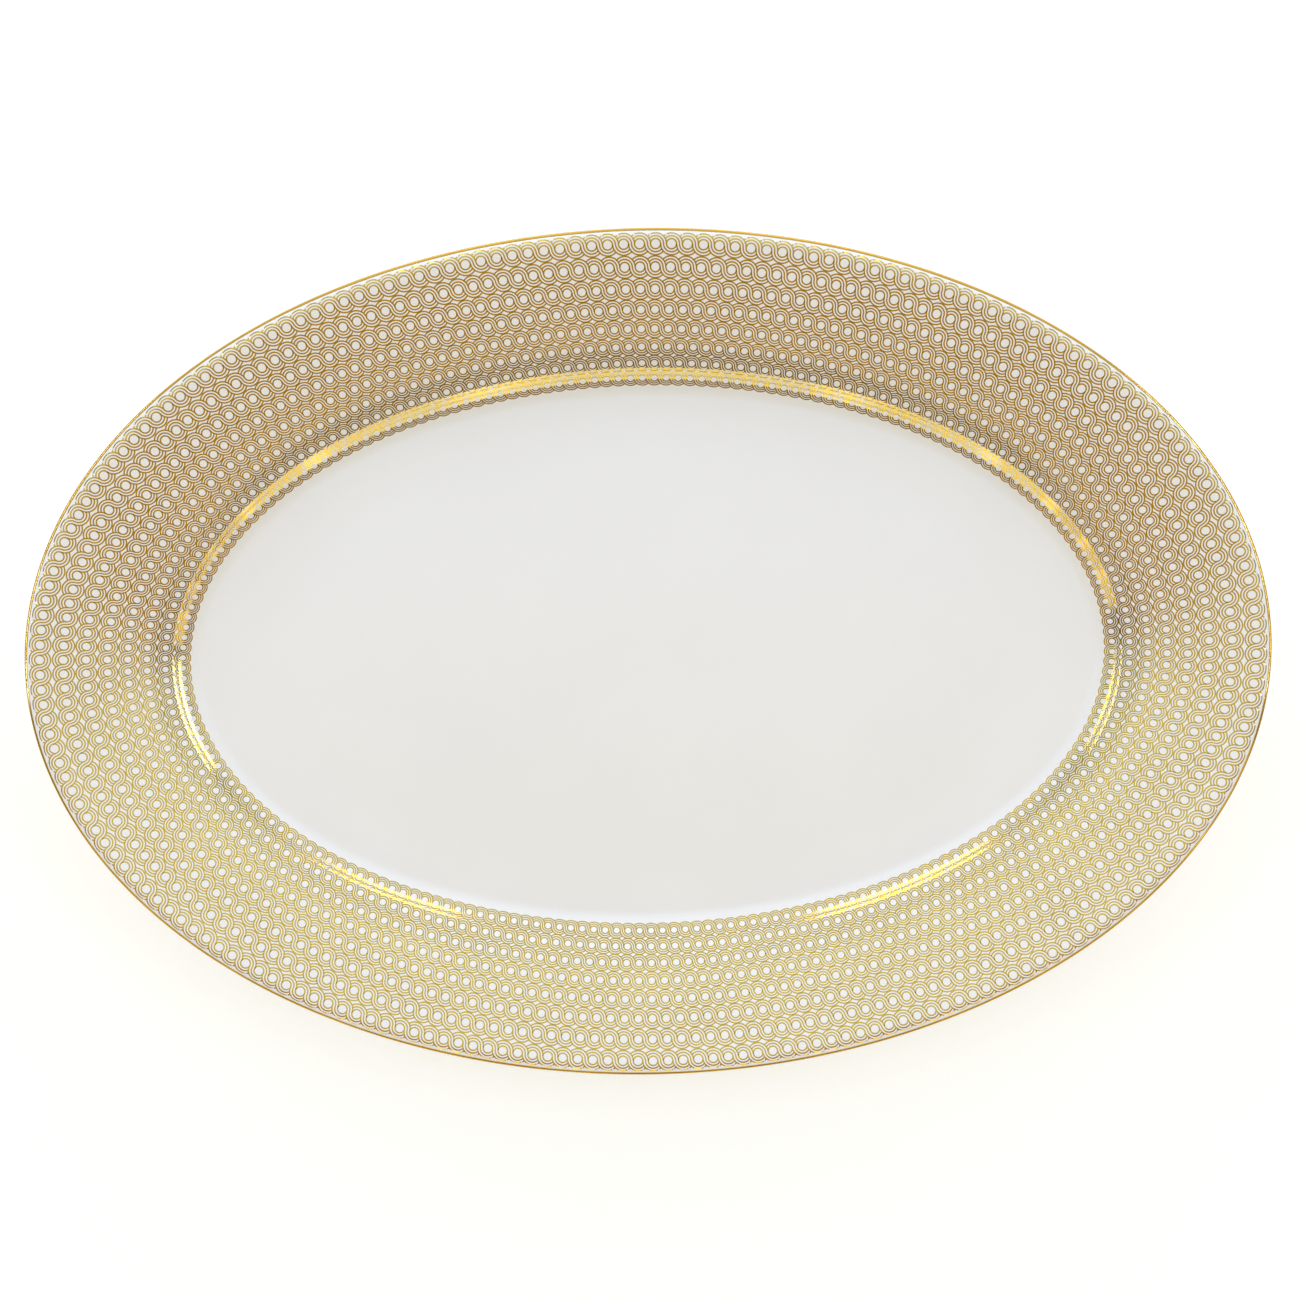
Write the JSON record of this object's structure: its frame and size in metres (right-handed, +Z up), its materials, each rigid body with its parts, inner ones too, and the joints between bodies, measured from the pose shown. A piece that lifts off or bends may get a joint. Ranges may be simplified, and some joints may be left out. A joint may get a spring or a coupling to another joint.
{
  "type": "china serving platter",
  "caption": "Oval porcelain serving platter with a sloping rim, a flat well, a foot ring, a gilded lip and rows of gold guilloche print.",
  "frame": {"origin": "centre of the foot ring's bearing plane, under the centre of the oval", "axes": "+X along the length of the oval, +Y along its width, +Z up out of the well"},
  "size_m": [0.405, 0.2764, 0.0256],
  "materials": {
    "glazed_china": "gloss",
    "lip_gold": "polished",
    "print_gold": "polished"
  },
  "bodies": {
    "root": {"china_body": "glazed_china", "gold_edge_band": "lip_gold", "guilloche_row_1": "print_gold", "guilloche_row_2": "print_gold", "guilloche_row_3": "print_gold", "guilloche_row_4": "print_gold", "guilloche_row_5": "print_gold", "guilloche_row_6": "print_gold", "guilloche_row_7": "print_gold", "guilloche_row_8": "print_gold"}
  },
  "joints": []
}
